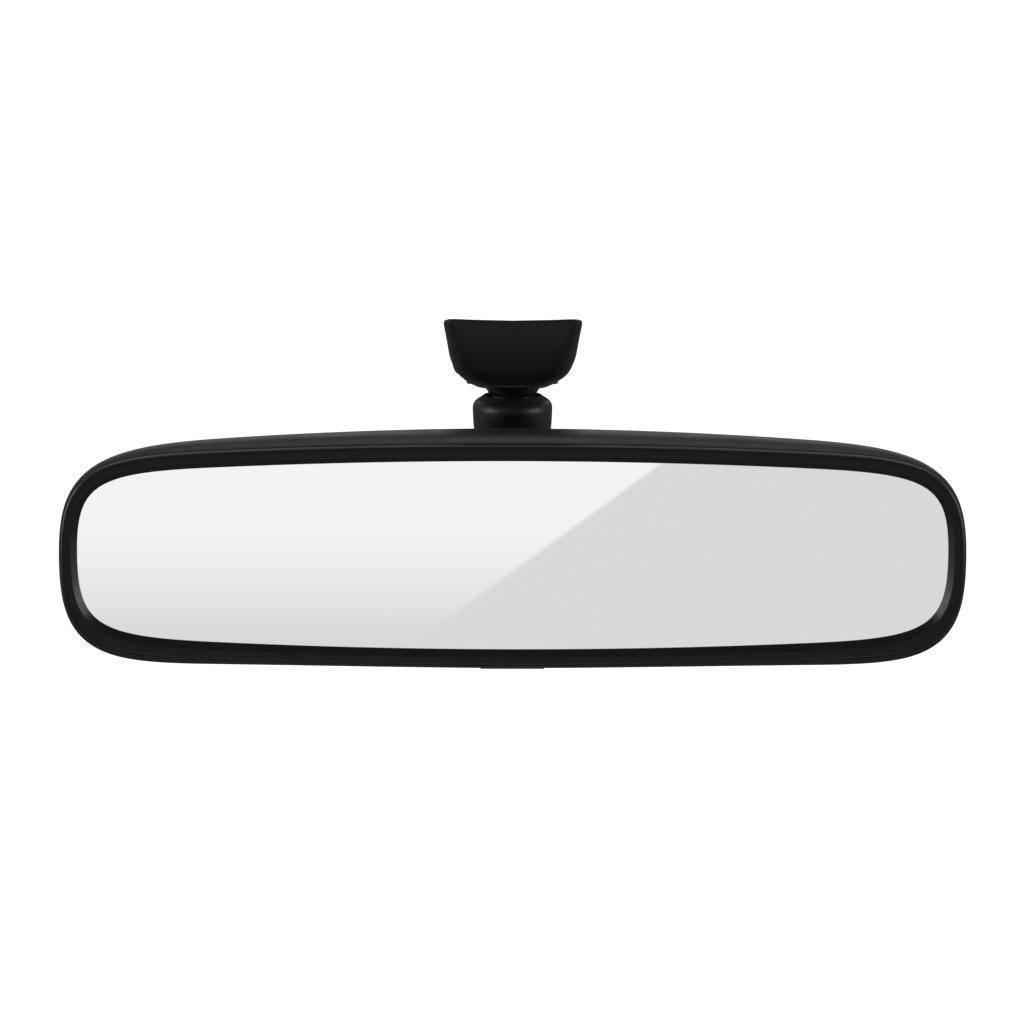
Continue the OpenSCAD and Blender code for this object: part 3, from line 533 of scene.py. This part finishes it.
def half_row(r, s, t):
    a = max(r[1] - t, 0.3); y0 = 46.0
    f = (y0 - r[2] if s < 0 else r[3] - y0) - t
    e = 1.0 if r[0] > 31 else 1 - (31 - r[0]) * 0.04 if r[0] > 21 else 0.6
    g = np.pi * np.arange(NS + 1) / NS
    dz = t * (-2 - r[0]) / 6.2 if r[0] < -2 else -t * max(0, min(1, (r[0] - 35.9) / 1.5))
    si = np.clip(np.sin(g), 0, None); si[0] = si[-1] = 0.0
    return np.stack([a * sq(np.cos(g), e), y0 + s * max(f, 0.3) * si**e, np.full(NS + 1, r[0] + dz)], 1)


def arm_cover(name, s, shift):
    o = spline_rows([half_row(r, s, 0) for r in ARM], 4)
    i = spline_rows([half_row(r, s, 1.5) for r in ARM], 2)
    for g in (o, i):
        for q in g:
            q[:, 1] += shift
    n = NS + 1
    vs = [p for q in o for p in q] + [p for q in i for p in q]
    fs = []
    mo, mi = len(o), len(i)
    B = mo * n
    for a in range(mo - 1):
        for k in range(n - 1):
            fs.append((a * n + k, (a + 1) * n + k, (a + 1) * n + k + 1, a * n + k + 1))
    for a in range(mi - 1):
        for k in range(n - 1):
            fs.append((B + a * n + k, B + a * n + k + 1, B + (a + 1) * n + k + 1, B + (a + 1) * n + k))
    for k in range(n - 1):
        fs.append((k, k + 1, B + k + 1, B + k))
        fs.append(((mo - 1) * n + k, B + (mi - 1) * n + k, B + (mi - 1) * n + k + 1, (mo - 1) * n + k + 1))
    st = 2
    for k in (0, n - 1):
        for a in range(mi - 1):
            poly = [B + a * n + k, B + (a + 1) * n + k] + [(a * st + st - j) * n + k for j in range(st + 1)]
            fs.append(tuple(poly))
    return mesh_object(name, [row(p) for p in vs], fs)


def cut(ob, cutters):
    for k, c in enumerate(cutters):
        mod = ob.modifiers.new("c%d" % k, "BOOLEAN")
        mod.operation = "DIFFERENCE"; mod.object = c; mod.solver = "EXACT"
    bpy.context.view_layer.update()
    dg = bpy.context.evaluated_depsgraph_get()
    me = bpy.data.meshes.new_from_object(ob.evaluated_get(dg))
    ob.modifiers.clear(); ob.data = me
    for c in cutters:
        bpy.data.objects.remove(c)


af = arm_cover("arm_shell_front", -1, 0.0)
cut(af, [rod("tmp_d", (0, 30, L[1]), (0, 43, L[1]), 8.3, 96)])
sharp_by_angle(af, 38)
dress(af, "case_plastic", "arm", "arm_front_cover")
ar = arm_cover("arm_shell_rear", 1, 0.05)
cc = []
for z in (11.5, 25):
    x = 5.2 if z > 20 else -5.2
    cc.append(rod("tmp_e", (x, 47, z), (x, 60, z), 1.3))
    cc.append(rod("tmp_f", (x, 52.4 if z > 20 else 51.9, z), (x, 60, z), 2.35))
cut(ar, cc)
sharp_by_angle(ar, 38)
dress(ar, "case_plastic", "arm", "arm_rear_cover")

# ---------------------------------------------------------------- lever: rounded tab on its hub
def lever_profile():
    ca, sa = math.cos(math.radians(TAB_REST)), math.sin(math.radians(TAB_REST))
    tabp = fillet([(3.0, 1.6), (LEVER_L - 3.5, 1.45), (LEVER_L - 1.9, 1.8), (LEVER_L, 1.6), (LEVER_L, -1.5), (LEVER_L - 3.5, -1.5), (3.0, -1.6)],
                  [0, 3, 3, 1.3, 1.3, 4, 0], steps=8)
    pts = []
    for u, v2 in tabp:
        pts.append((u * ca + v2 * sa, -u * sa + v2 * ca))
    a1 = math.atan2(pts[-1][1], pts[-1][0]); a0 = math.atan2(pts[0][1], pts[0][0])
    k = 44
    span = (a1 - a0) % (2 * math.pi)
    arc = [(4.0 * math.cos(a1 - span * 0 - (2 * math.pi - span) * j / k), 4.0 * math.sin(a1 - (2 * math.pi - span) * j / k)) for j in range(1, k)]
    return pts + arc


lp = np.array(lever_profile())
cen = lp.mean(0)
rings = []
hw = LEVER_W / 2
for x, s in ((-hw, 0.42), (-hw + 0.06, 0.22), (-hw + 0.22, 0.07), (-hw + 0.5, 0.0), (hw - 0.5, 0.0), (hw - 0.22, 0.07), (hw - 0.06, 0.22), (hw, 0.42)):
    # pull the end rings in a little, for rounded ends
    nx = np.roll(lp, -1, 0) - np.roll(lp, 1, 0)
    nn = np.stack([nx[:, 1], -nx[:, 0]], 1); nn /= np.linalg.norm(nn, axis=1)[:, None]
    if (nn * (lp - cen)).sum() > 0:
        nn = -nn
    q = lp + nn * s
    rings.append(np.stack([np.full(len(q), x), P[0] + q[:, 0], P[1] + q[:, 1]], 1))
v, f = tube([row(r) for r in rings])
n = len(lp)
f = list(f) + [tuple(range(n)), tuple(range((len(rings) - 1) * n, len(rings) * n))]
lever = mesh_object("lever_tab", v, f)
cut(lever, [rod("tmp_g", (-14, P[0], P[1]), (14, P[0], P[1]), 1.3)])
sharp_by_angle(lever, 35)
crank = 2.9; ca = math.radians(40)
pins = []
for s in (-1, 1):
    cy, cz = P[0] - crank * math.sin(ca), P[1] + crank * math.cos(ca)
    pr = [(0.85, 12.7), (1.0, 12.5), (1.0, hw - 0.6)]
    rr = [np.array([[s * x, cy + r * math.cos(2 * math.pi * k / 40), cz + r * math.sin(2 * math.pi * k / 40)] for k in range(40)]) for r, x in pr]
    vv, ff = tube([row(q) for q in rr])
    ff = list(ff) + [tuple(range(40)), tuple(range(80, 120))]
    pins.append(mesh_object("lever_crank_pin", vv, ff))
for o in pins:
    sharp_by_angle(o, 35)
bpy.ops.object.select_all(action="DESELECT")
for o in [lever] + pins:
    o.select_set(True)
bpy.context.view_layer.objects.active = lever
bpy.ops.object.join()
dress(lever, "lever_plastic", "lever", "day_night_lever")

# ---------------------------------------------------------------- springs
def coil_mesh(name, r, wr, z0, z1, turns, seg=56, sides=14):
    vs, fs = [], []
    m2 = int(turns * seg)
    tl = math.atan((z1 - z0) / (turns * 2 * math.pi * r))
    for i in range(m2 + 1):
        a = 2 * math.pi * i / seg; z = z0 + (z1 - z0) * i / m2
        for k in range(sides):
            g = 2 * math.pi * k / sides
            x = (r + wr * math.cos(g)) * math.cos(a) + wr * math.sin(g) * math.sin(tl) * math.sin(a)
            y = (r + wr * math.cos(g)) * math.sin(a) - wr * math.sin(g) * math.sin(tl) * math.cos(a)
            zz = z + wr * math.sin(g) * math.cos(tl)
            # the lower ball's frame: its Z runs forward, its Y runs down
            vs.append(row((x, L[0] + zz, L[1] - y)))
    for i in range(m2):
        for k in range(sides):
            k2 = (k + 1) % sides
            fs.append((i * sides + k, i * sides + k2, (i + 1) * sides + k2, (i + 1) * sides + k))
    fs += [tuple(range(sides)), tuple(range(m2 * sides, (m2 + 1) * sides))]
    return mesh_object(name, vs, fs)


coil = coil_mesh("friction_coil", 4.5, 0.4, -10.25, -7.3, 2.5)
sharp_by_angle(coil, 40)
dress(coil, "spring_steel", "carrier", "lower_friction_spring")

# ---------------------------------------------------------------- the other CAD nodes keep their shape and get their finish
slot_of = {s["node"]: s["material_slot"] for s in frame["record"]["subparts"]}
for name, ob in nodes.items():
    ob.data.materials.clear()
    ob.data.materials.append(MAT[slot_of[name]])
    if not ob.hide_render:
        lim = math.radians(32)
        bm = bmesh.new(); bm.from_mesh(ob.data)
        for e in bm.edges:
            e.smooth = not (len(e.link_faces) == 2 and e.calc_face_angle(0) > lim)
        for fc in bm.faces:
            fc.smooth = True
        bm.to_mesh(ob.data); bm.free()

# ---------------------------------------------------------------- stage
def plane(name, centre, ux, uy, mat):
    c, a, b2 = Vector(centre), Vector(ux), Vector(uy)
    me = bpy.data.meshes.new(name)
    me.from_pydata([c - a - b2, c + a - b2, c + a + b2, c - a + b2], [], [(0, 1, 2, 3)])
    me.uv_layers.new(name="UVMap")
    o = bpy.data.objects.new(name, me)
    bpy.context.scene.collection.objects.link(o)
    me.materials.append(mat)
    return o


m, nt, b = material("stage_floor", (0.9, 0.9, 0.9), 0.9)
b.inputs["Emission Color"].default_value = (1, 1, 1, 1)
b.inputs["Emission Strength"].default_value = 1.0
floor = plane("stage_floor", (0, 0, -0.45), (30, 0, 0), (0, 30, 0), m)
floor.visible_diffuse = False
floor.visible_glossy = False
floor.visible_transmission = False
floor.visible_shadow = False

# the soft card that the glass reflects: bright and shading off downward, with a darker card across its right side
CARD_Y = -1.40
cm = bpy.data.materials.new("stage_card")
cm.use_nodes = True
nt = cm.node_tree
for nd in list(nt.nodes):
    nt.nodes.remove(nd)
out = nt.nodes.new("ShaderNodeOutputMaterial")
em = nt.nodes.new("ShaderNodeEmission")
nt.links.new(em.outputs[0], out.inputs[0])
tc = nt.nodes.new("ShaderNodeTexCoord")
sep = nt.nodes.new("ShaderNodeSeparateXYZ")
nt.links.new(tc.outputs["Object"], sep.inputs[0])
ramp = nt.nodes.new("ShaderNodeValToRGB")
mr = nt.nodes.new("ShaderNodeMapRange")
nt.links.new(sep.outputs["Z"], mr.inputs["Value"])
nt.links.new(mr.outputs["Result"], ramp.inputs["Fac"])
K = 2.188  # card millimetres per glass millimetre
CAM_D, CAM_EL = 1200.0, 11.0
cam_h = 2.0 * 0 + CAM_D * math.sin(math.radians(CAM_EL))
cam_back = CAM_D * math.cos(math.radians(CAM_EL))


def to_card(x, z):
    """Where the eye sees the glass point (x, z), in layout mm, on the card's plane."""
    eye = (0.0, 2.0 - (cam_back), cam_h)
    s = (-CARD_Y * 1000 + 2.0) / (cam_back)
    return x * (1 + s), z + (z - cam_h) * s


zt, zb = to_card(0, 30)[1], to_card(0, -30)[1]
mr.inputs["From Min"].default_value = row((0, 0, zb))[2]
mr.inputs["From Max"].default_value = row((0, 0, zt))[2]


def lin(c):
    c = c / 255
    return ((c + 0.055) / 1.055) ** 2.4 if c > 0.04045 else c / 12.92


stops = [(-30, 213), (-24.05, 216), (-18.9, 220), (-15.5, 225), (-12.1, 228), (-8.7, 230), (-5.2, 233), (-1.8, 238), (3.0, 240), (7.3, 242), (30, 243)]
el = ramp.color_ramp.elements
while len(el) > 1:
    el.remove(el[-1])
for k, (z, g) in enumerate(stops):
    e = el[0] if k == 0 else el.new((z + 30) / 60)
    e.position = (z + 30) / 60
    e.color = (lin(g) / 0.935,) * 3 + (1,)
(xa, za), (xb, zb2) = to_card(45.3, 26.7), to_card(-23.2, -24.05)
pa, pb = row((xa, 0, za)), row((xb, 0, zb2))
# signed distance from the diagonal
dx, dz = pa[0] - pb[0], pa[2] - pb[2]
ln = math.hypot(dx, dz)
nx, nz = dz / ln, -dx / ln
dot = nt.nodes.new("ShaderNodeVectorMath"); dot.operation = "DOT_PRODUCT"
dot.inputs[1].default_value = (nx, 0, nz)
nt.links.new(tc.outputs["Object"], dot.inputs[0])
gt = nt.nodes.new("ShaderNodeMapRange")
off = nx * pb[0] + nz * pb[2]
gt.inputs["From Min"].default_value = off - 0.0015
gt.inputs["From Max"].default_value = off + 0.0015
nt.links.new(dot.outputs["Value"], gt.inputs["Value"])
mx = nt.nodes.new("ShaderNodeMix"); mx.data_type = "RGBA"
nt.links.new(gt.outputs["Result"], mx.inputs[0])
nt.links.new(ramp.outputs["Color"], mx.inputs[6])
mx.inputs[7].default_value = (lin(216) / 0.935,) * 3 + (1,)
nt.links.new(mx.outputs[2], em.inputs["Color"])
em.inputs["Strength"].default_value = 1.0
xl, zl = to_card(-140, -34); xr, zu = to_card(140, 36)
lo, hi = row((xl, CARD_Y * 1000, zl)), row((xr, CARD_Y * 1000, zu))
card = plane("stage_card", (0, 0, 0), (1, 0, 0), (0, 0, 1), cm)
card.data.clear_geometry()
card.data.from_pydata([(lo[0], lo[1], lo[2]), (hi[0], lo[1], lo[2]), (hi[0], lo[1], hi[2]), (lo[0], lo[1], hi[2])], [], [(0, 1, 2, 3)])
card.data.materials.clear(); card.data.materials.append(cm)
card.visible_camera = False
card.visible_diffuse = False
card.visible_shadow = False

# ---------------------------------------------------------------- light
world = bpy.data.worlds.new("stage_world")
bpy.context.scene.world = world
world.use_nodes = True
bg = world.node_tree.nodes["Background"]
bg.inputs["Color"].default_value = (0.9, 0.95, 1.0, 1)
bg.inputs["Strength"].default_value = 0.13


def area(name, at, aim, size, power, size_y=None):
    d = bpy.data.lights.new(name, "AREA")
    d.shape = "RECTANGLE"
    d.size = size; d.size_y = size_y or size
    d.energy = power
    o = bpy.data.objects.new(name, d)
    bpy.context.scene.collection.objects.link(o)
    o.location = Vector(at)
    o.rotation_euler = (Vector(aim) - Vector(at)).to_track_quat("-Z", "Y").to_euler()
    return o


aim = tuple(row((0, 15, 15)))
area("key_top", (0.0, 0.2, 1.1), aim, 1.3, 2.7, 0.5)
area("rim_back", (0.0, 1.3, 0.55), aim, 2.0, 2.4, 0.5)
area("side_left", (-1.3, -0.3, 0.25), aim, 0.8, 7.0, 0.8)
area("side_right", (1.3, -0.3, 0.25), aim, 0.8, 6.0, 0.8)
area("low_front", (0.0, -1.0, -0.9), aim, 1.2, 1.0, 0.3)

# ---------------------------------------------------------------- camera
el_, az_, roll = math.radians(11.0), math.radians(-0.3), math.radians(0.16)
cam_d = bpy.data.cameras.new("camera")
cam_d.sensor_width = 36; cam_d.lens = 151
cam_d.clip_start = 0.05; cam_d.clip_end = 100
cam = bpy.data.objects.new("camera", cam_d)
bpy.context.scene.collection.objects.link(cam)
target = Vector(row((0, 2, 0)))
back = Vector((math.sin(az_) * math.cos(el_), -math.cos(az_) * math.cos(el_), math.sin(el_)))
cam.location = target + back * 1.2
fpx = 151 / 36 * 1024
rot = (-back).to_track_quat("-Z", "Y").to_matrix()
# turn the camera so that the glass centre falls at (513.0, 555.6)
up = math.atan((555.6 - 512) / fpx); side = math.atan((513.0 - 512) / fpx)
rot = rot @ Matrix.Rotation(up, 3, "X") @ Matrix.Rotation(side, 3, "Y") @ Matrix.Rotation(roll, 3, "Z")
cam.rotation_euler = rot.to_euler()
bpy.context.scene.camera = cam
bpy.context.scene.view_settings.view_transform = "Standard"
bpy.context.scene.view_settings.look = "None"
